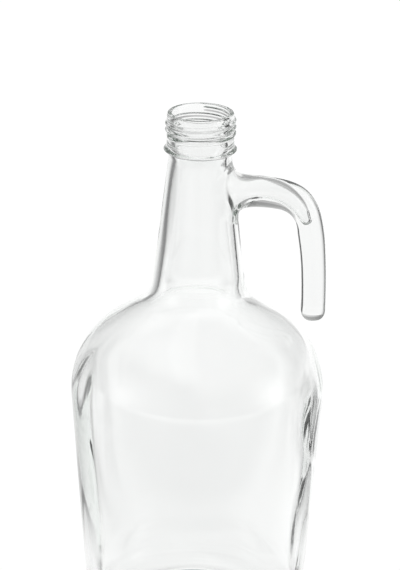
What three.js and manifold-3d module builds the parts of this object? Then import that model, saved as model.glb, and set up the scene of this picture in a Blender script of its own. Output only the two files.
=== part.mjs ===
// A two-litre clear glass carboy: a tapered round body with a domed shoulder, a conical neck, a
// 38 mm continuous-thread mouth above a transfer bead, and an open J-shaped handle, with an air
// pocket inside it that opens from the neck's bore and ends at the elbow.
// Millimetres, +Z up. The origin is the centre of the base, on the surface it stands on, and the
// handle points along +X. The glass is split where its shape changes: base, body wall, shoulder,
// neck, neck finish and handle, with a narrow joint line between neighbours.
import * as THREE from "three";
import Module from "manifold-3d";
import { mergeVertices } from "three/addons/utils/BufferGeometryUtils.js";

const wasm = await Module();
wasm.setup();

// Driving dimensions.
const HEIGHT = 290;
const BODY_RADIUS = 68;
const WALL = 3;
const JOINT_GAP = 0.3; // between the solids of neighbouring zones
const AROUND = 48; // facets round the axis

// Body and shoulder.
const WIDEST_Z = HEIGHT - 154;
const SHOULDER_ARC = 45;
const SHOULDER_SLOPE = THREE.MathUtils.degToRad(56); // from the vertical, where the arc meets the slope
const BODY_TAPER = THREE.MathUtils.degToRad(4.2);

// Neck.
const NECK_TOP_Z = HEIGHT - 24;
const NECK_TOP_RADIUS = 16.6;
const NECK_TAPER = THREE.MathUtils.degToRad(6.6);
const NECK_FILLET = 17;

// Base.
const HEEL_ARC = 12;
const BEARING_INNER = 42; // the flat ring that the carboy stands on starts here
const PUSH_UP = 9; // height of the hollow under the base
const BASE_GLASS = 5; // thickness in the middle of the base

// Neck finish, a nominal 38 mm screw mouth.
const BORE_RADIUS = 14.6;
const THREAD_ROOT_RADIUS = 17.4;
const THREAD_CREST_RADIUS = 18.7;
const THREAD_PITCH = 3.45;
const THREAD_TURNS = 2.9;
const THREAD_TOP_Z = HEIGHT - 2.7;
const THREAD_START = THREE.MathUtils.degToRad(93);
const THREAD_FADE = 0.06; // share of the thread's length that each end takes to sink into the wall
const LIP_ROUND = 0.8;
const BEAD_Z = HEIGHT - 20;
const BEAD_RADIUS = 19.2;
const BEAD_ROUND = 1.9;
const UNDER_BEAD = 1.4; // size of the step between the bead and the neck

// Handle.
const HANDLE_THICK = 12;
const HANDLE_ROUND = 3.6;
const HANDLE_REACH = 67.8;
const POCKET_THICK = 7; // across the handle
const POCKET_ROUND = 1.2;

// Heights where one zone ends and the next begins.
const BASE_TOP = 20;
const BODY_TOP = WIDEST_Z - 2;
const SHOULDER_TOP = HEIGHT - 94;

const glass = new THREE.MeshStandardMaterial({
  color: 0xe8efec,
  roughness: 0.04,
  metalness: 0,
  transparent: true,
  opacity: 0.35,
});

const onAngle = (angle) => new THREE.Vector2(Math.cos(angle), Math.sin(angle));

// The wall's line from the body to the neck, as points (radius, z) that rise. inset moves it into
// the glass, so the same lines and arcs give the outside at 0 and the inside at the wall thickness.
function wallLine(inset) {
  const shoulderCentre = new THREE.Vector2(BODY_RADIUS - SHOULDER_ARC, WIDEST_Z);
  const shoulderRadius = SHOULDER_ARC - inset;

  // The straight wall below the shoulder arc, run down to the surface it stands on.
  const bodyTop = onAngle(-BODY_TAPER).multiplyScalar(shoulderRadius).add(shoulderCentre);
  const bodyFoot = new THREE.Vector2(bodyTop.x - bodyTop.y * Math.tan(BODY_TAPER), 0);

  // The neck's cone, and the fillet that is tangent to it and to the shoulder's slope.
  const neckNormal = onAngle(NECK_TAPER);
  const slopeNormal = onAngle(SHOULDER_SLOPE);
  const neckTop = new THREE.Vector2(NECK_TOP_RADIUS, NECK_TOP_Z);
  const toNeck = neckNormal.dot(neckTop) + NECK_FILLET;
  const toSlope = slopeNormal.dot(shoulderCentre) + SHOULDER_ARC + NECK_FILLET;
  const cross = neckNormal.x * slopeNormal.y - neckNormal.y * slopeNormal.x;
  const filletCentre = new THREE.Vector2(
    (toNeck * slopeNormal.y - neckNormal.y * toSlope) / cross,
    (neckNormal.x * toSlope - toNeck * slopeNormal.x) / cross,
  );
  const filletRadius = NECK_FILLET + inset;

  const line = new THREE.Path();
  line.moveTo(bodyFoot.x, bodyFoot.y);
  line.lineTo(bodyTop.x, bodyTop.y);
  line.absarc(shoulderCentre.x, shoulderCentre.y, shoulderRadius, -BODY_TAPER, SHOULDER_SLOPE, false);
  line.absarc(
    filletCentre.x,
    filletCentre.y,
    filletRadius,
    Math.PI + SHOULDER_SLOPE,
    Math.PI + NECK_TAPER,
    true,
  );
  const inside = neckNormal.clone().multiplyScalar(-inset).add(neckTop);
  line.lineTo(inside.x + (inside.y - HEIGHT) * Math.tan(NECK_TAPER), HEIGHT);
  return line.getPoints(4);
}

const outerLine = wallLine(0);
const innerLine = wallLine(WALL);

// The stretch of a rising line between two heights, with a point at each.
function between(line, low, high) {
  const at = (z) => {
    const i = line.findIndex((p, k) => k > 0 && p.y >= z);
    const share = (z - line[i - 1].y) / (line[i].y - line[i - 1].y);
    return line[i - 1].clone().lerp(line[i], share);
  };
  const inner = line.filter((p) => p.y > low + 0.5 && p.y < high - 0.5);
  return [at(low), ...inner, at(high)];
}

// A body of revolution from a profile of (radius, z) points that runs anticlockwise.
function revolve(profile) {
  const geometry = new THREE.LatheGeometry(profile, AROUND);
  geometry.rotateX(Math.PI / 2);
  return geometry;
}

// A ring of wall between two heights.
function wallRing(low, high) {
  const outside = between(outerLine, low, high);
  const inside = between(innerLine, low, high).reverse();
  return revolve([...outside, ...inside, outside[0]]);
}

function toSolid(geometry) {
  const bare = geometry.index ? geometry.toNonIndexed() : geometry.clone();
  bare.deleteAttribute("normal");
  bare.deleteAttribute("uv");
  const merged = mergeVertices(bare, 1e-4);
  return new wasm.Manifold(
    new wasm.Mesh({
      numProp: 3,
      vertProperties: merged.attributes.position.array,
      triVerts: new Uint32Array(merged.index.array),
    }),
  );
}

function toGeometry(solid) {
  const mesh = solid.getMesh();
  const geometry = new THREE.BufferGeometry();
  geometry.setAttribute("position", new THREE.BufferAttribute(mesh.vertProperties, 3));
  geometry.setIndex(new THREE.BufferAttribute(mesh.triVerts, 1));
  geometry.computeVertexNormals();
  return geometry;
}

// The bottom of the carboy: a domed push-up inside a flat bearing ring, the heel, and the first
// stretch of wall.
function makeBase() {
  const top = BASE_TOP - JOINT_GAP / 2;
  const wallAt = between(outerLine, HEEL_ARC, top);
  const heelCentre = new THREE.Vector2(wallAt[0].x - HEEL_ARC, HEEL_ARC);

  const under = new THREE.Path();
  under.moveTo(0, PUSH_UP);
  under.bezierCurveTo(20, PUSH_UP, 32, 6, 38, 2);
  under.quadraticCurveTo(40, 0, BEARING_INNER, 0);
  under.lineTo(heelCentre.x, 0);
  under.absarc(heelCentre.x, heelCentre.y, HEEL_ARC, -Math.PI / 2, 0, false);

  const innerTop = between(innerLine, HEEL_ARC, top).pop();
  const inside = new THREE.Path();
  inside.moveTo(innerTop.x, innerTop.y);
  inside.bezierCurveTo(innerTop.x - 0.8, 10, 51, 5, 43, 5);
  inside.bezierCurveTo(36, 5, 26, PUSH_UP + BASE_GLASS, 0, PUSH_UP + BASE_GLASS);

  return revolve([...under.getPoints(4), wallAt.at(-1), ...inside.getPoints(5)]);
}

// The thread's centre line: a right-hand helix that sinks into the wall at both ends.
class ThreadHelix extends THREE.Curve {
  getPoint(t, target = new THREE.Vector3()) {
    const turned = t * THREAD_TURNS;
    const angle = THREAD_START - turned * 2 * Math.PI;
    const shown = Math.min(1, Math.min(t, 1 - t) / THREAD_FADE);
    const ridge = THREAD_CREST_RADIUS - THREAD_ROOT_RADIUS;
    const radius = THREAD_ROOT_RADIUS - (1 - shown) * ridge;
    const z = THREAD_TOP_Z - turned * THREAD_PITCH;
    return target.set(radius * Math.cos(angle), radius * Math.sin(angle), z);
  }
}

// The mouth: a rounded lip with a flat sealing land, the screw thread, and the transfer bead.
function makeNeckFinish() {
  const throat = between(innerLine, SHOULDER_TOP, NECK_TOP_Z).at(-1).x;
  const outline = new THREE.Path();
  outline.moveTo(throat, NECK_TOP_Z + JOINT_GAP / 2);
  outline.lineTo(NECK_TOP_RADIUS, NECK_TOP_Z + JOINT_GAP / 2);
  outline.quadraticCurveTo(
    NECK_TOP_RADIUS + 0.1,
    BEAD_Z - BEAD_ROUND - 0.2,
    NECK_TOP_RADIUS + UNDER_BEAD,
    BEAD_Z - BEAD_ROUND + 0.1,
  );
  outline.absarc(BEAD_RADIUS - BEAD_ROUND, BEAD_Z, BEAD_ROUND, -1.2, 1.45, false);
  outline.lineTo(THREAD_ROOT_RADIUS - 0.2, BEAD_Z + BEAD_ROUND + 0.5);
  outline.lineTo(THREAD_ROOT_RADIUS, HEIGHT - LIP_ROUND);
  outline.absarc(THREAD_ROOT_RADIUS - LIP_ROUND, HEIGHT - LIP_ROUND, LIP_ROUND, 0, Math.PI / 2, false);
  outline.lineTo(BORE_RADIUS + LIP_ROUND, HEIGHT);
  outline.absarc(BORE_RADIUS + LIP_ROUND, HEIGHT - LIP_ROUND, LIP_ROUND, Math.PI / 2, Math.PI, false);
  outline.lineTo(throat, NECK_TOP_Z + JOINT_GAP / 2);
  const ring = revolve(outline.getPoints(2));

  const section = new THREE.Shape();
  section.absarc(0, 0, THREAD_CREST_RADIUS - THREAD_ROOT_RADIUS, 0, 2 * Math.PI, false);
  const ridge = new THREE.ExtrudeGeometry(section, {
    steps: Math.round(THREAD_TURNS * 24),
    curveSegments: 5,
    extrudePath: new ThreadHelix(),
  });
  return toGeometry(toSolid(ring).add(toSolid(ridge)));
}

// The handle's side view, in the plane of the neck's axis: x outwards, y as height below the mouth.
function handleOutline() {
  const side = new THREE.Shape();
  side.moveTo(6, -25.5);
  side.lineTo(16.9, -25.5);
  side.bezierCurveTo(17.6, -31.5, 20.5, -34.2, 26, -34.6);
  side.bezierCurveTo(50, -36.2, 66, -42, HANDLE_REACH - 0.8, -80);
  side.bezierCurveTo(HANDLE_REACH, -90, HANDLE_REACH, -98, HANDLE_REACH, -108);
  side.bezierCurveTo(HANDLE_REACH, -117, 55.3, -117, 55.3, -108);
  side.bezierCurveTo(55.6, -92, 55.2, -76, 51, -60.5);
  side.bezierCurveTo(48.6, -52, 42, -51, 28, -50);
  side.bezierCurveTo(22.5, -49.8, 20.2, -53, 20.4, -60);
  side.lineTo(6, -60);
  side.closePath();
  return side;
}

// The side view of the air pocket, from the neck's bore along the arm to the elbow.
function pocketOutline() {
  const tongue = new THREE.Shape();
  tongue.moveTo(6, -32);
  tongue.lineTo(14.5, -32);
  tongue.bezierCurveTo(16.5, -33.8, 20, -36.7, 27, -36.8);
  tongue.bezierCurveTo(46, -37.7, 57.2, -43.5, 58.6, -56.5);
  tongue.bezierCurveTo(59, -60.8, 55.6, -61.2, 54.2, -57.6);
  tongue.bezierCurveTo(50, -48.5, 42, -47, 29, -47);
  tongue.bezierCurveTo(22, -47, 19.6, -49.5, 17.6, -54);
  tongue.lineTo(6, -54);
  tongue.closePath();
  return tongue;
}

// Extrudes an outline drawn in (x, height) across the carboy, centred on the middle plane.
function across(outline, options) {
  const geometry = new THREE.ExtrudeGeometry(outline, options);
  geometry.rotateX(Math.PI / 2);
  geometry.computeBoundingBox();
  const { min, max } = geometry.boundingBox;
  geometry.translate(0, -(min.y + max.y) / 2, HEIGHT);
  return geometry;
}

function makePocket() {
  const pocket = across(pocketOutline(), {
    depth: POCKET_THICK - 2 * POCKET_ROUND,
    bevelThickness: POCKET_ROUND,
    bevelSize: POCKET_ROUND,
    bevelOffset: -POCKET_ROUND,
    bevelSegments: 2,
    curveSegments: 5,
  });
  return toSolid(pocket);
}

// The neck's cone of wall, with the window through which the pocket opens.
function makeNeck() {
  const ring = wallRing(SHOULDER_TOP + JOINT_GAP / 2, NECK_TOP_Z - JOINT_GAP / 2);
  return toGeometry(toSolid(ring).subtract(makePocket()));
}

function makeHandle() {
  const bar = across(handleOutline(), {
    depth: HANDLE_THICK - 2 * HANDLE_ROUND,
    bevelThickness: HANDLE_ROUND,
    bevelSize: HANDLE_ROUND,
    bevelOffset: -HANDLE_ROUND,
    bevelSegments: 3,
    curveSegments: 7,
  });

  // The neck, grown by the joint gap, trims the handle's root to a saddle.
  const neckFill = between(outerLine, SHOULDER_TOP - 20, HEIGHT - 1);
  const grown = neckFill.map((p) => new THREE.Vector2(p.x + JOINT_GAP, p.y));
  const foot = new THREE.Vector2(0, grown[0].y);
  const head = new THREE.Vector2(0, grown.at(-1).y);
  const saddle = toSolid(revolve([foot, ...grown, head]));

  return toGeometry(toSolid(bar).subtract(makePocket()).subtract(saddle));
}

const carboy = new THREE.Group();

function addZone(name, geometry) {
  const mesh = new THREE.Mesh(geometry, glass.clone());
  mesh.name = name;
  carboy.add(mesh);
}

addZone("base", makeBase());
addZone("body_wall", wallRing(BASE_TOP + JOINT_GAP / 2, BODY_TOP - JOINT_GAP / 2));
addZone("shoulder", wallRing(BODY_TOP + JOINT_GAP / 2, SHOULDER_TOP - JOINT_GAP / 2));
addZone("neck", makeNeck());
addZone("neck_finish", makeNeckFinish());
addZone("handle", makeHandle());

export default carboy;
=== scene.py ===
import math

import bpy
import numpy as np
from mathutils import Matrix, Vector


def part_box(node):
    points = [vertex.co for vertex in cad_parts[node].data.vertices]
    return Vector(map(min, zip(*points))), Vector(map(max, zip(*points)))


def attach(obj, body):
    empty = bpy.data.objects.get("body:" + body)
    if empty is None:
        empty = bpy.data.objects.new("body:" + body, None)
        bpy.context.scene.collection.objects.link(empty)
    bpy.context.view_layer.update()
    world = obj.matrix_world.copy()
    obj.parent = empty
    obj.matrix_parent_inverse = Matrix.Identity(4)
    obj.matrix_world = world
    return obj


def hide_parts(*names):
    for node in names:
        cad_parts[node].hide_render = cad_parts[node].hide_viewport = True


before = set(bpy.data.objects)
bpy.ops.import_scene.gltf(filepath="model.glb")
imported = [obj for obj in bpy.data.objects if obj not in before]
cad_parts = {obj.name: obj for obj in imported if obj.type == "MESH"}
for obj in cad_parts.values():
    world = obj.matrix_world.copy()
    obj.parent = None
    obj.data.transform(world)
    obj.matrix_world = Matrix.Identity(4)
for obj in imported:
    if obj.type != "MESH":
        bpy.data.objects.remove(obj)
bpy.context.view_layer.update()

MM = 0.001
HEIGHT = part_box("neck_finish")[1].z / MM  # the mouth's plane, in millimetres above the floor
BODY_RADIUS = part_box("shoulder")[1].x / MM

COLUMNS = 160  # round the axis
HANDLE_LOOPS = 92  # along the handle

WALL = 3.0
NECK_TAPER = math.radians(6.6)
BODY_TAPER = math.radians(4.2)
SHOULDER_ARC = 45.0
SHOULDER_SLOPE = math.radians(56)
NECK_FILLET = 17.0
NECK_TOP = (16.6, HEIGHT - 24)
WIDEST_Z = HEIGHT - 154


# ---------------------------------------------------------------- outlines


def arc(cx, cz, radius, start, end, step):
    """Points on an arc, about step apart, with both ends."""
    count = max(3, int(abs(end - start) * radius / step) + 1)
    angles = np.linspace(start, end, count)
    return [(cx + radius * math.cos(a), cz + radius * math.sin(a)) for a in angles]


def bezier(a, b, c, d, step):
    length = sum(math.dist(p, q) for p, q in ((a, b), (b, c), (c, d)))
    t = np.linspace(0, 1, max(3, int(length / step) + 1))[:, None]
    a, b, c, d = (np.array(p, float) for p in (a, b, c, d))
    points = (1 - t) ** 3 * a + 3 * (1 - t) ** 2 * t * b + 3 * (1 - t) * t**2 * c + t**3 * d
    return [tuple(p) for p in points]


def line(a, b, step):
    count = max(2, int(math.dist(a, b) / step) + 2)
    return [tuple(p) for p in np.linspace(a, b, count)]


def joined(*stretches):
    """One list of points from stretches that meet end to end."""
    points = [tuple(stretches[0][0])]
    for stretch in stretches:
        for p in stretch:
            if math.dist(p, points[-1]) > 1e-4:
                points.append(tuple(p))
    return points


def wall_stretches(inset, step):
    """The wall from the body's foot line up to the neck's top: shoulder, fillet and cone."""
    radius = SHOULDER_ARC - inset
    centre = np.array([BODY_RADIUS - SHOULDER_ARC, WIDEST_Z])
    neck_n = np.array([math.cos(NECK_TAPER), math.sin(NECK_TAPER)])
    slope_n = np.array([math.cos(SHOULDER_SLOPE), math.sin(SHOULDER_SLOPE)])
    to_neck = neck_n @ np.array(NECK_TOP) + NECK_FILLET
    to_slope = slope_n @ centre + SHOULDER_ARC + NECK_FILLET
    fx, fz = np.linalg.solve(np.array([neck_n, slope_n]), [to_neck, to_slope])
    body_top = centre + radius * np.array([math.cos(-BODY_TAPER), math.sin(-BODY_TAPER)])
    neck_top = np.array(NECK_TOP) - inset * neck_n
    shoulder = arc(*centre, radius, -BODY_TAPER, SHOULDER_SLOPE, step)
    fillet = arc(fx, fz, NECK_FILLET + inset, math.pi + SHOULDER_SLOPE, math.pi + NECK_TAPER, step)
    return tuple(body_top), shoulder, fillet, tuple(neck_top)


def taper_at(body_top, z):
    return (body_top[0] - (body_top[1] - z) * math.tan(BODY_TAPER), z)


def cone_at(neck_top, z):
    return (neck_top[0] + (neck_top[1] - z) * math.tan(NECK_TAPER), z)


def outer_outline():
    """From the middle of the push-up, out and up to the top of the neck finish's outside."""
    body_top, shoulder, fillet, neck_top = wall_stretches(0, 2.0)
    heel = taper_at(body_top, 12)
    under = bezier((0.9, 9), (20, 9), (32, 6), (38, 2), 3.2)
    step_up = bezier((38, 2), (39.4, 0.9), (40.4, 0), (42, 0), 1.0)
    ring = line((42, 0), (heel[0] - 12, 0), 1.2)
    heel_arc = arc(heel[0] - 12, 12, 12, -math.pi / 2, 0, 1.6)
    body = line(heel, body_top, 4.0)
    slope = line(shoulder[-1], fillet[0], 2.0)
    h = HEIGHT
    cone_end = cone_at(neck_top, h - 25.6)
    cone = line(fillet[-1], cone_end, 1.0)
    under_bead = bezier(cone_end, (16.75, h - 23.8), (16.95, h - 21.6), (17.6, h - 21.0), 0.35)
    underside = line((17.6, h - 21.0), (18.8, h - 20.3), 0.3)
    bead_foot = bezier((18.8, h - 20.3), (19.1, h - 20.1), (19.2, h - 20.0), (19.2, h - 19.8), 0.12)
    bead_head = bezier((19.2, h - 19.8), (19.2, h - 19.45), (19.05, h - 19.3), (18.4, h - 19.0), 0.12)
    recess = bezier((18.4, h - 19.0), (17.85, h - 18.7), (17.7, h - 17.6), (17.65, h - 15.2), 0.35)
    thread = line((17.65, h - 15.2), (17.7, h - 2.2), 0.24)
    lip = bezier((17.7, h - 2.2), (17.7, h - 1.0), (17.3, h), (16.7, h), 0.3)
    return joined(
        under, step_up, ring, heel_arc, body, shoulder, slope, fillet, cone,
        under_bead, underside, bead_foot, bead_head, recess, thread, lip,
    )


def inner_outline():
    """From the sealing land, down the bore to the middle of the inside of the base."""
    body_top, shoulder, fillet, neck_top = wall_stretches(WALL, 2.6)
    h = HEIGHT
    land = line((16.7, h), (15.5, h), 0.4)
    lip = bezier((15.5, h), (15.0, h), (14.75, h - 0.5), (14.7, h - 1.3), 0.3)
    bore = line((14.7, h - 1.3), (14.7, h - 8.5), 1.2)
    narrowing = bezier((14.7, h - 8.5), (14.7, h - 11.5), (13.3, h - 11.5), (13.3, h - 14.5), 0.5)
    choke = line((13.3, h - 14.5), (13.3, h - 17.6), 0.8)
    throat = cone_at(neck_top, h - 26)
    shelf = bezier((13.3, h - 17.6), (13.3, h - 20), (13.5, h - 23), throat, 0.8)
    cone = line(throat, fillet[-1], 2.0)
    slope = line(fillet[0], shoulder[-1], 2.6)
    foot = taper_at(body_top, 20)
    body = line(body_top, foot, 5.0)
    heel = bezier(foot, (foot[0] - 0.8, 10), (51, 5), (43, 5), 2.0)
    dome = bezier((43, 5), (36, 5), (26, 14), (0.9, 14), 3.2)
    return joined(
        land, lip, bore, narrowing, choke, shelf, cone,
        fillet[::-1], slope, shoulder[::-1], body, heel, dome,
    )


OUTER = outer_outline()
INNER = inner_outline()
NECK_LINE = sorted((z, r) for r, z in OUTER if z > HEIGHT - 100)


def neck_radius(z):
    return np.interp(z, [p[0] for p in NECK_LINE], [p[1] for p in NECK_LINE])


def smooth(low, high, x):
    t = np.clip((np.asarray(x, float) - low) / (high - low), 0, 1)
    return t * t * (3 - 2 * t)


# ---------------------------------------------------------------- relief on the round surfaces

THREAD_PITCH = 3.45
THREAD_TURNS = 2.75
THREAD_TOP = HEIGHT - 3.1
THREAD_START = math.radians(93)
THREAD_HEIGHT = 0.95


def thread_relief(angle, z):
    """Height of the screw ridge over the finish: right-handed, with a blunt start at the back."""
    part = np.mod(THREAD_START - angle, 2 * math.pi) / (2 * math.pi)
    relief = np.zeros_like(z)
    for turn in range(3):
        along = part + turn
        off = np.abs(z - (THREAD_TOP - THREAD_PITCH * along))
        shown = smooth(0, 0.035, along) * smooth(THREAD_TURNS, THREAD_TURNS - 0.09, along)
        relief = np.maximum(relief, THREAD_HEIGHT * shown * smooth(1.65, 0.0, off))
    return relief


SEAM_HEIGHT = 0.07
SEAM_WIDTH = 0.55
SEAM_RADIUS = 60  # turns an angle off the plane into millimetres, a little under the body's radius
RING_LINE_HEIGHT = 0.05
RING_LINE_WIDTH = 0.25


def seam_relief(angle, z):
    """The mould's two parting lines, in the plane of the handle, and its neck-ring line."""
    across = np.abs(np.sin(angle)) * SEAM_RADIUS
    upright = SEAM_HEIGHT * np.exp(-((across / SEAM_WIDTH) ** 2)) * smooth(10, 16, z)
    ring = RING_LINE_HEIGHT * np.exp(-(((z - (HEIGHT - 16.4)) / RING_LINE_WIDTH) ** 2))
    return upright + ring


STIPPLES = 168
STIPPLE_DEPTH = 0.25


def stipple(angle, radius, z):
    """Small radial bars pressed into the bearing ring."""
    bars = np.cos(angle * STIPPLES / 2) ** 2
    return STIPPLE_DEPTH * bars * smooth(41.5, 43.5, radius) * smooth(49.5, 47.5, radius) * (z < 2)


# Each wave: how many go round the jug, its length up the jug and its size, in millimetres.
# A rib's length with a minus leans it the other way.
SWELLS = (
    (1, 190, 0.36), (2, 120, 0.30), (3, 150, 0.26), (5, 110, 0.22),
    (7, 160, 0.17), (9, 90, 0.13), (13, 130, 0.06),
)
RIBS = ((11, 83, 0.5), (17, -61, 0.45), (23, 97, 0.35), (27, -140, 0.2))
NECK_SWELL = 0.28  # share of the body's swells that the neck shows
NECK_EXTRA = 1.1  # added to the wall in the neck
SHOULDER_EXTRA = 1.1  # added to the wall of the shoulder, on the handle's side
LEFT_RIB_TOP = HEIGHT - 112
RIGHT_RIB_TOP = HEIGHT - 132
LEFT_RIB_DEPTH = 0.88
LEFT_RIB_FADE = 0.74  # taken off the left ribs' depth further down
RIGHT_RIB_DEPTH = 0.62
LEFT_RIB_WALL = 1.3
RIGHT_RIB_WALL = 0.7


def extra_wall(angle, z):
    """Where the glass is thicker: in the neck, and in the shoulder on the handle's side."""
    neck = NECK_EXTRA * smooth(HEIGHT - 17, HEIGHT - 27, z) * smooth(HEIGHT - 116, HEIGHT - 70, z)
    facing = smooth(0.45, 0.95, np.cos(angle))
    above, below = smooth(HEIGHT - 88, HEIGHT - 104, z), smooth(HEIGHT - 132, HEIGHT - 112, z)
    return neck + SHOULDER_EXTRA * facing * above * below


def glass_waves(angle, z):
    """How the blown inside wanders from even thickness: slow swells, and upright ribs at the two sides."""
    rng = np.random.default_rng(41)
    swells = np.zeros_like(z)
    for order, height, size in SWELLS:
        turn, rise = rng.uniform(0, 2 * math.pi, 2)
        swells += size * np.cos(order * angle + turn) * np.cos(2 * math.pi * z / height + rise)
    ribs = np.zeros_like(z)
    for order, height, size in RIBS:
        ribs += size * np.cos(order * angle + 2 * math.pi * z / height + rng.uniform(0, 2 * math.pi))

    in_neck = NECK_SWELL * smooth(HEIGHT - 20, HEIGHT - 34, z)
    swelling = np.maximum(smooth(HEIGHT - 90, HEIGHT - 130, z), in_neck)
    left = np.cos(angle) < 0
    top = np.where(left, LEFT_RIB_TOP, RIGHT_RIB_TOP)
    sides = smooth(0.8, 0.97, np.abs(np.cos(angle))) * smooth(top, top - 35, z) * smooth(18, 40, z)
    left_depth = LEFT_RIB_DEPTH - LEFT_RIB_FADE * smooth(HEIGHT - 140, HEIGHT - 158, z)
    rib_depth = np.where(left, left_depth, RIGHT_RIB_DEPTH)
    rib_wall = np.where(left, LEFT_RIB_WALL, RIGHT_RIB_WALL)
    return swells * swelling + (ribs * rib_depth - rib_wall) * sides - extra_wall(angle, z)


BORE_LINE = sorted((z, r) for r, z in INNER if z > HEIGHT - 100)


def bore_radius(angle, z):
    z = np.asarray(z, float)
    return np.interp(z, [p[0] for p in BORE_LINE], [p[1] for p in BORE_LINE]) + glass_waves(angle, z)


# ---------------------------------------------------------------- handle

HANDLE_HALF = 6.0  # half thickness past the last of HALVES
ROOT_TOP = HEIGHT - 26.8
ROOT_FOOT = HEIGHT - 59.8

# Where the handle's outer and inner edges run, as (reach, depth below the mouth), pair by pair.
EDGES = [
    ((17.5, 29.2), (20.6, 57.2)),
    ((18.8, 31.7), (20.8, 54.8)),
    ((20.9, 33.4), (21.9, 52.8)),
    ((23.8, 34.2), (24.4, 51.5)),
    ((28.5, 34.7), (28.5, 51.0)),
    ((34.3, 35.1), (34.0, 51.3)),
    ((40.0, 35.8), (39.3, 52.0)),
    ((45.6, 37.0), (43.4, 52.9)),
    ((50.5, 38.7), (46.4, 54.4)),
    ((54.8, 41.1), (48.6, 56.3)),
    ((58.4, 44.4), (50.2, 58.8)),
    ((61.3, 48.6), (51.3, 61.8)),
    ((63.5, 53.8), (51.8, 65.6)),
    ((65.1, 60.4), (52.5, 70.4)),
    ((66.3, 68.2), (53.3, 76.0)),
    ((67.0, 77.2), (54.0, 83.4)),
    ((67.5, 87.0), (54.4, 91.4)),
    ((67.7, 97.0), (54.6, 99.4)),
    ((67.7, 109.0), (54.6, 109.0)),
]
HANDLE_CAP = 6.2  # how far the rounded end reaches below the last pair
HALVES = [15.5, 14.2, 12.9, 11.6, 10.2, 8.6, 7.4, 6.6, 6.2]  # half thickness, from the neck out


def along_curve(points, count):
    """A smooth curve through points, resampled evenly."""
    p = np.array(points, float)
    p = np.vstack([2 * p[0] - p[1], p, 2 * p[-1] - p[-2]])
    fine = []
    for i in range(1, len(p) - 2):
        t = np.linspace(0, 1, 12, endpoint=False)[:, None]
        a, b, c, d = p[i - 1], p[i], p[i + 1], p[i + 2]
        fine.append(
            0.5 * (2 * b + (c - a) * t + (2 * a - 5 * b + 4 * c - d) * t**2 + (3 * b - a - 3 * c + d) * t**3)
        )
    fine = np.vstack([*fine, p[-2][None]])
    run = np.r_[0, np.cumsum(np.linalg.norm(np.diff(fine, axis=0), axis=1))]
    at = np.linspace(0, run[-1], count)
    return np.stack([np.interp(at, run, fine[:, k]) for k in range(fine.shape[1])], axis=1)


def handle_sections():
    """Rows of outer x, outer z, inner x, inner z, half thickness, from the neck to the last pair."""
    rows = [(neck_radius(ROOT_TOP), ROOT_TOP, neck_radius(ROOT_FOOT), ROOT_FOOT, HALVES[0])]
    for k, ((ox, oz), (ix, iz)) in enumerate(EDGES):
        half = HALVES[k + 1] if k + 1 < len(HALVES) else HANDLE_HALF
        rows.append((ox, HEIGHT - oz, ix, HEIGHT - iz, half))
    return along_curve(rows, HANDLE_LOOPS)


# The air pocket that runs from the neck's bore into the handle as far as the elbow: upper and lower edge,
# as (reach, depth below the mouth), with its half thickness.
POCKET = [
    ((15.8, 30.0), (17.6, 57.4), 12.3),
    ((18.4, 33.6), (18.9, 53.4), 10.9),
    ((21.2, 35.5), (20.9, 50.2), 9.3),
    ((24.5, 36.3), (24.2, 48.0), 7.6),
    ((28.5, 36.6), (28.3, 46.8), 6.0),
    ((33.0, 36.9), (33.0, 46.4), 4.6),
    ((38.2, 37.9), (37.8, 46.9), 3.9),
    ((43.2, 39.4), (41.8, 48.2), 3.5),
    ((47.7, 41.4), (45.2, 49.9), 3.3),
    ((51.6, 44.2), (48.3, 52.1), 3.1),
    ((54.8, 47.8), (51.0, 54.6), 2.9),
    ((57.3, 52.2), (53.0, 57.4), 2.9),
    ((58.7, 57.0), (54.8, 59.9), 2.6),
]
POCKET_TOP = HEIGHT - 26.8
POCKET_FOOT = HEIGHT - 61.0
POCKET_LOOPS = 58
POCKET_CAP = 2.0
POCKET_MOUTH_HALF = 13.6


def pocket_sections():
    """Rows like the handle's, from the bore to the pocket's far end."""
    top, foot = bore_radius(0.0, POCKET_TOP), bore_radius(0.0, POCKET_FOOT)
    rows = [(top, POCKET_TOP, foot, POCKET_FOOT, POCKET_MOUTH_HALF)]
    rows += [(ox, HEIGHT - oz, ix, HEIGHT - iz, half) for (ox, oz), (ix, iz), half in POCKET]
    return along_curve(rows, POCKET_LOOPS)


# ---------------------------------------------------------------- the glass


RADIAN_SPAN = 24  # millimetres that a radian round the neck counts for, in bearings about a limb's middle
PAST_BLEND = 200  # a loop number well past any blend
CAP_LEANS = np.radians([12, 24, 36, 47, 57, 66, 74, 81, 86])
CAP_FULLNESS = 0.86


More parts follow.
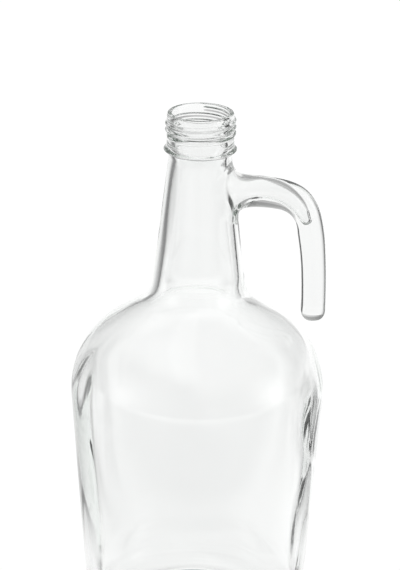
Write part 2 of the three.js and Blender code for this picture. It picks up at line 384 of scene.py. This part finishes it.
class GlassMesh:
    """Points and faces of one closed skin, in millimetres."""

    def __init__(self):
        self.points = []
        self.faces = []

    def add(self, xyz):
        """Adds rows of points and returns their numbers."""
        first = len(self.points)
        self.points.extend(map(tuple, np.asarray(xyz, float).reshape(-1, 3)))
        return np.arange(first, len(self.points))

    def strip(self, lower, upper):
        """Quads between two closed loops of equal length."""
        n = len(lower)
        for j in range(n):
            k = (j + 1) % n
            self.faces.append((lower[j], lower[k], upper[k], upper[j]))

    def cap(self, loop, tip):
        n = len(loop)
        for j in range(n):
            self.faces.append((loop[j], loop[(j + 1) % n], tip))

    def branch(self, rim, sections, radius_at, blend_loops, cap, power):
        """Grows a closed limb out of a hole in the round wall, through the sections, to a rounded end."""
        rim_xyz = np.array([self.points[v] for v in rim])
        rim_angle = np.arctan2(rim_xyz[:, 1], rim_xyz[:, 0])
        middle = (sections[0][1] + sections[0][3]) / 2
        bearing = np.arctan2(rim_xyz[:, 2] - middle, rim_angle * RADIAN_SPAN)

        def loop(row, number, shrink=1.0, along=0.0):
            ox, oz, ix, iz, half = row
            tall = math.hypot(ox - ix, oz - iz) / 2
            round_off = power + 0.3 * smooth(0, blend_loops, number)
            reach_out = (np.abs(np.sin(bearing)) / (tall * shrink)) ** round_off
            reach_out += (np.abs(np.cos(bearing)) / (half * shrink)) ** round_off
            size = reach_out ** (-1 / round_off)
            up, y = size * np.sin(bearing) / tall, size * np.cos(bearing)
            x = (ox + ix) / 2 + up * (ox - ix) / 2 + along * (oz - iz) / (2 * tall)
            z = (oz + iz) / 2 + up * (oz - iz) / 2 - along * (ox - ix) / (2 * tall)
            around = radius_at(0.0, z)
            if number == 0:
                x = np.sqrt(radius_at(np.arcsin(np.clip(y / around, -1, 1)), z) ** 2 - y**2)
            else:
                hug = np.sqrt(np.maximum(around**2 - y**2, 1)) - around
                x = x + hug * (1 - smooth(0, blend_loops * 1.2, number))
            return np.column_stack([x, y, z])

        first = loop(sections[0], 0)
        first_angle = np.arctan2(first[:, 1], first[:, 0])
        below = list(rim)
        for share in (0.2, 0.4, 0.6, 0.8):
            a = rim_angle * (1 - share) + first_angle * share
            z = rim_xyz[:, 2] * (1 - share) + first[:, 2] * share
            here = self.add(ring_points(radius_at(a, z), a, z))
            self.strip(below, here)
            below = here
        for number, row in enumerate(sections):
            here = self.add(loop(row, number))
            self.strip(below, here)
            below = here
        last = sections[-1]
        for lean in CAP_LEANS:
            shrink, along = math.cos(lean) ** CAP_FULLNESS, cap * math.sin(lean)
            here = self.add(loop(last, PAST_BLEND, shrink, along))
            self.strip(below, here)
            below = here
        tall = math.hypot(last[0] - last[2], last[1] - last[3])
        tip = (
            (last[0] + last[2]) / 2 + cap * (last[1] - last[3]) / tall,
            0,
            (last[1] + last[3]) / 2 - cap * (last[0] - last[2]) / tall,
        )
        self.cap(below, self.add([tip])[0])


def hole_in(rows, outline, first, span, degrees):
    """A hole round the handle's plane: its rim, and the grid cells that it takes away."""
    heights = [z for _, z in outline]
    near = [i for i, z in enumerate(heights) if HEIGHT - 100 < z < HEIGHT - 19]
    low = max((i for i in near if heights[i] < span[0]), key=lambda i: heights[i]) + first
    high = min((i for i in near if heights[i] > span[1]), key=lambda i: heights[i]) + first
    reach = int(math.radians(degrees) / (2 * math.pi / COLUMNS))
    columns = [c % COLUMNS for c in range(-reach - 1, reach + 1)]
    way = 1 if high > low else -1
    between = range(low + way, high, way)
    rim = [rows[low][c] for c in columns]
    rim += [rows[i][columns[-1]] for i in between]
    rim += [rows[high][c] for c in columns[::-1]]
    rim += [rows[i][columns[0]] for i in reversed(between)]
    cells = [(i, j) for i in range(min(low, high), max(low, high)) for j in columns[:-1]]
    return (rim if way > 0 else rim[::-1]), cells


def ring_points(radius, angle, z):
    return np.column_stack([radius * np.cos(angle), radius * np.sin(angle), z])


# Each hole's lowest and highest point, and the degrees that it reaches to either side.
HANDLE_HOLE = ((ROOT_FOOT - 2.4, ROOT_TOP + 0.7), 70)
POCKET_HOLE = ((POCKET_FOOT - 1.5, POCKET_TOP + 0.8), 73)


def skin_radius(angle, z):
    """The neck's outside is round, so the angle makes no difference."""
    return neck_radius(z)


def build_jug():
    glass = GlassMesh()
    # The columns start half a step off the handle's plane, so that the hole for it is symmetrical.
    angle = (np.arange(COLUMNS) + 0.5) * 2 * math.pi / COLUMNS
    rows = []
    for r, z in OUTER:
        zz = np.full(COLUMNS, z)
        radius = r + seam_relief(angle, zz) * (r > 50 or z > 60)
        if z > HEIGHT - 18:
            radius = radius + thread_relief(angle, zz)
        height = zz + stipple(angle, radius, zz)
        rows.append(glass.add(ring_points(radius, angle, height)))
    outer_count = len(rows)
    for r, z in INNER[1:]:
        zz = np.full(COLUMNS, z)
        radius = r + (glass_waves(angle, zz) if r > 3 else 0) * min(1, r / 12)
        rows.append(glass.add(ring_points(radius, angle, zz)))

    # The holes in the neck's outside and in its bore, where the handle and its pocket grow out.
    outside = hole_in(rows, OUTER, 0, *HANDLE_HOLE)
    inside = hole_in(rows, INNER[1:], outer_count, *POCKET_HOLE)
    gone = set(outside[1]) | set(inside[1])
    for i in range(len(rows) - 1):
        for j in range(COLUMNS):
            if (i, j) not in gone:
                k = (j + 1) % COLUMNS
                glass.faces.append((rows[i][j], rows[i][k], rows[i + 1][k], rows[i + 1][j]))
    foot = glass.add([(0, 0, OUTER[0][1])])[0]
    middle = glass.add([(0, 0, INNER[-1][1])])[0]
    glass.cap(rows[0][::-1], foot)
    glass.cap(rows[-1], middle)

    glass.branch(outside[0], handle_sections(), skin_radius, blend_loops=22, cap=HANDLE_CAP, power=2.2)
    glass.branch(inside[0], pocket_sections(), bore_radius, blend_loops=16, cap=POCKET_CAP, power=2.0)

    points = [(x * MM, y * MM, z * MM) for x, y, z in glass.points]
    faces = [tuple(map(int, face)) for face in glass.faces]
    mesh = bpy.data.meshes.new("glass_jug")
    mesh.from_pydata(points, [], faces)
    mesh.validate()
    mesh.shade_smooth()
    jug = bpy.data.objects.new("glass_jug", mesh)
    bpy.context.scene.collection.objects.link(jug)
    return jug


# ---------------------------------------------------------------- materials


class Shade:
    """An output of a node, which can be used in sums."""

    def __init__(self, nodes, socket):
        self.nodes = nodes
        self.socket = socket

    def __add__(self, other):
        return self.nodes.math("ADD", self, other)

    def __sub__(self, other):
        return self.nodes.math("SUBTRACT", self, other)

    def __rsub__(self, other):
        return self.nodes.math("SUBTRACT", other, self)

    def __mul__(self, other):
        return self.nodes.math("MULTIPLY", self, other)

    def __pow__(self, other):
        return self.nodes.math("POWER", self, other)

    def __truediv__(self, other):
        return self.nodes.math("DIVIDE", self, other)

    def __rtruediv__(self, other):
        return self.nodes.math("DIVIDE", other, self)

    def __abs__(self):
        return self.nodes.math("ABSOLUTE", self)

    __radd__ = __add__
    __rmul__ = __mul__

    def over(self, low, high):
        """0 below low, 1 above high, smooth between."""
        sockets = {"Value": self, "From Min": low, "From Max": high}
        return self.nodes.node("MapRange", {"interpolation_type": "SMOOTHSTEP"}, sockets)


class Nodes:
    """The node tree of one material, or of the world."""

    def __init__(self, owner, output):
        owner.use_nodes = True
        self.owner = owner
        self.tree = owner.node_tree
        self.tree.nodes.clear()
        self.output = self.tree.nodes.new(output)

    def plug(self, value, socket):
        if isinstance(value, Shade):
            self.tree.links.new(value.socket, socket)
        else:
            socket.default_value = value

    def node(self, kind, settings=None, sockets=None, out=0):
        """Adds a node: its settings first, then its sockets. Returns one output, or all for out=None."""
        made = self.tree.nodes.new("ShaderNode" + kind)
        for name, value in (settings or {}).items():
            setattr(made, name, value)
        for name, value in (sockets or {}).items():
            self.plug(value, made.inputs[name])
        if out is None:
            return [Shade(self, socket) for socket in made.outputs]
        return Shade(self, made.outputs[out])

    def math(self, operation, *values):
        return self.node("Math", {"operation": operation}, dict(enumerate(values)))

    def split(self, vector):
        """A vector's three parts."""
        return self.node("SeparateXYZ", sockets={"Vector": vector}, out=None)

    def grey(self, level):
        return self.node("CombineColor", sockets={"Red": level, "Green": level, "Blue": level})

    def finish(self, surface, volume=None):
        self.plug(surface, self.output.inputs["Surface"])
        if volume:
            self.plug(volume, self.output.inputs["Volume"])
        return self.owner


def finish_named(name):
    return Nodes(bpy.data.materials.new(name), "ShaderNodeOutputMaterial")


def clear_glass():
    """Clear, faintly grey-green glass with a softly uneven surface."""
    nodes = finish_named("clear_glass")
    place = nodes.node("TexCoord", out="Object")  # in metres
    swell = nodes.node("TexNoise", sockets={"Vector": place, "Scale": 26.0, "Detail": 1.5, "Roughness": 0.4})
    skin = nodes.node("TexNoise", sockets={"Vector": place, "Scale": 210.0, "Detail": 2.0, "Roughness": 0.5})
    relief = swell * 0.8 + skin * 0.06
    bent = nodes.node("Bump", sockets={"Height": relief, "Strength": 0.12, "Distance": 0.0006})
    glass = nodes.node("BsdfPrincipled", sockets={
        "Base Color": (0.99, 0.995, 0.992, 1),
        "Roughness": 0.0,
        "IOR": 1.52,
        "Transmission Weight": 1.0,
        "Normal": bent,
    })
    tint = nodes.node("VolumeAbsorption", sockets={"Color": (0.88, 0.90, 0.885, 1), "Density": 14.0})
    return nodes.finish(glass, tint)


WHITE = 1.03  # strength of the floor, and of what the camera sees beyond it

# Where the floor is dimmer: the middle's bearing from +Y, flat half width, outer half width, how much.
LEFT_DIM = (-0.91, 0.05, 0.62, 0.8)
RIGHT_DIM = (1.08, 0.17, 0.32, 0.93)
FRONT_DIM = 0.95
FAR_FRONT_SHARE = 0.6  # how much of the front's dimness is gone at its far end
RIGHT_FRONT_SHARE = 0.35  # and at its right


def floor_white():
    """A floor that glows an even white. Only the glass shows that its sides and front are dimmer."""
    nodes = finish_named("floor_white")
    x, y, _ = nodes.split(nodes.node("NewGeometry", out="Position"))
    bearing = nodes.math("ARCTAN2", x, y)

    def wedge(middle, flat, outer, amount):
        return (1 - abs(bearing - middle).over(flat, outer)) * amount

    away = (x * x + y * y).over(0.006, 0.04)
    ahead = 0 - y
    front = ahead.over(-0.02, 0.1) * (1 - ahead.over(0.4, 1.9) * FAR_FRONT_SHARE)
    front = front * (1 - x.over(0.02, 0.25) * RIGHT_FRONT_SHARE)
    mirrored = nodes.node("LightPath", out="Glossy Depth").over(0, 1)
    lit = (1 - wedge(*LEFT_DIM) * away) * (1 - wedge(*RIGHT_DIM) * away) * (1 - front * mirrored * FRONT_DIM)
    seen = nodes.node("LightPath", out="Is Camera Ray")
    level = lit * (1 - seen) + seen
    return nodes.finish(nodes.node("Emission", sockets={"Color": nodes.grey(level), "Strength": WHITE}))


# ---------------------------------------------------------------- camera

LENS = 178.3
SENSOR_WIDTH = 36
CAMERA_DISTANCE = 1.5
LOOK_DOWN = math.radians(20.673)
ROLL = math.radians(0.779)
TARGET = Vector((0.0008, 0, (HEIGHT - 96.04) * MM))


def make_camera():
    data = bpy.data.cameras.new("camera")
    data.lens = LENS
    data.sensor_width = SENSOR_WIDTH
    data.clip_end = 60
    camera = bpy.data.objects.new("camera", data)
    bpy.context.scene.collection.objects.link(camera)
    back = Vector((0, -math.cos(LOOK_DOWN), math.sin(LOOK_DOWN)))
    turn = (-back).to_track_quat("-Z", "Y").to_matrix() @ Matrix.Rotation(ROLL, 3, "Z")
    camera.matrix_world = Matrix.Translation(TARGET + back * CAMERA_DISTANCE) @ turn.to_4x4()
    bpy.context.scene.camera = camera


# ---------------------------------------------------------------- studio


FLOOR_HALF = 30  # metres
FLOOR_DROP = 0.0002  # metres, just under what stands on it
BOUNCES = 64
TRANSPARENT_BOUNCES = 16

# How bright the studio is near the horizon: a base all round, and what is added to it by side.
BASE_GLOW = 0.17
FRONT_RIGHT_GLOW = 0.3
BACK_LEFT_GLOW = 0.25
BACK_RIGHT_GLOW = 0.7
DOME_GLOW = 1.0  # high up
BAND_DIM = 0.42  # share taken off a band across the back, roughly 8 to 45 degrees up

# The overhead panel, as shares of its height above the jug.
# It fades out from the first to the second of a pair.
PANEL_GLOW = 0.38
PANEL_SHIFT = 0.17  # towards -X
PANEL_FLARE = 0.1  # how much wider it gets towards its ends
PANEL_SIDE = (0.1, 0.2)
PANEL_END = (0.85, 1.05)

# Each lamp's bearing from +Y and rise, in degrees, and its strength.
LEFT_LAMP = (-111.7, 11.7, 1.1)
RIGHT_LAMP = (108.6, 13.7, 1.9)
HALO_DEGREES = 34
CORE_DEGREES = (13, 3)  # where the core begins, and where it is full
HALO_SHARE = 0.6
CORE_SHARE = 0.4


def direction(bearing, rise):
    """The unit vector that points bearing degrees from +Y towards +X, and rise degrees up."""
    b, r = math.radians(bearing), math.radians(rise)
    return math.sin(b) * math.cos(r), math.cos(b) * math.cos(r), math.sin(r)


def lamp(x, y, z, bearing, rise, strength):
    """A round lamp: a bright core in a soft halo."""
    ax, ay, az = direction(bearing, rise)
    toward = x * ax + y * ay + z * az
    halo = toward.over(math.cos(math.radians(HALO_DEGREES)), 1.0) ** 2
    begins, full = (math.cos(math.radians(degrees)) for degrees in CORE_DEGREES)
    core = toward.over(begins, full)
    return (halo * HALO_SHARE + core * CORE_SHARE) * strength


def overhead_panel(nodes, x, y, z):
    """A long panel of light overhead, narrow in X, that reaches as far to the front as to the back."""
    reach = 1 / nodes.math("MAXIMUM", z, 0.05)
    along = abs(y * reach)
    aside = abs(x * reach + PANEL_SHIFT) - along * PANEL_FLARE
    panel = z.over(0.05, 0.2) * (1 - aside.over(*PANEL_SIDE)) * (1 - along.over(*PANEL_END))
    return panel * PANEL_GLOW


def make_world():
    """Soft light by direction: a dome, a panel overhead and two round lamps. The front left is dimmest."""
    world = bpy.data.worlds.new("studio")
    bpy.context.scene.world = world
    nodes = Nodes(world, "ShaderNodeOutputWorld")
    x, y, z = nodes.split(nodes.node("TexCoord", out="Generated"))
    back = y.over(-0.1, 0.4)
    behind = BACK_LEFT_GLOW + (BACK_RIGHT_GLOW - BACK_LEFT_GLOW) * x.over(-0.45, 0.25)
    low = BASE_GLOW + (1 - back) * x.over(0.0, 0.4) * FRONT_RIGHT_GLOW + back * behind
    front_left = (1 - x.over(-0.15, 0.1)) * (1 - back)
    high = z.over(0.3, 0.85) * (1 - front_left) + z.over(0.68, 0.92) * front_left
    band = back * z.over(0.08, 0.2) * (1 - z.over(0.6, 0.8)) * BAND_DIM
    glow = (low * (1 - high) + high * DOME_GLOW) * (1 - band) + overhead_panel(nodes, x, y, z)
    glow = glow + lamp(x, y, z, *LEFT_LAMP) + lamp(x, y, z, *RIGHT_LAMP)
    seen = nodes.node("LightPath", out="Is Camera Ray")
    strength = glow * (1 - seen) + seen * WHITE
    nodes.finish(nodes.node("Background", sockets={"Strength": strength}))


def make_floor():
    h = FLOOR_HALF
    mesh = bpy.data.meshes.new("floor")
    mesh.from_pydata([(-h, -h, 0), (h, -h, 0), (h, h, 0), (-h, h, 0)], [], [(0, 1, 2, 3)])
    mesh.materials.append(floor_white())
    floor = bpy.data.objects.new("floor", mesh)
    floor.location.z = -FLOOR_DROP
    bpy.context.scene.collection.objects.link(floor)


def make_studio():
    """The floor, the light, plain display colours, and enough bounces for light to leave thick glass."""
    make_world()
    make_floor()
    scene = bpy.context.scene
    scene.view_settings.view_transform = "Standard"
    scene.view_settings.look = "None"
    scene.cycles.max_bounces = BOUNCES
    scene.cycles.transmission_bounces = BOUNCES
    scene.cycles.glossy_bounces = BOUNCES
    scene.cycles.transparent_max_bounces = TRANSPARENT_BOUNCES
    scene.cycles.sample_clamp_indirect = 4.0


# ---------------------------------------------------------------- assembly

make_camera()
make_studio()

jug = build_jug()
jug.data.materials.append(clear_glass())
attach(jug, "root")
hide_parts("base", "body_wall", "shoulder", "neck", "neck_finish", "handle")
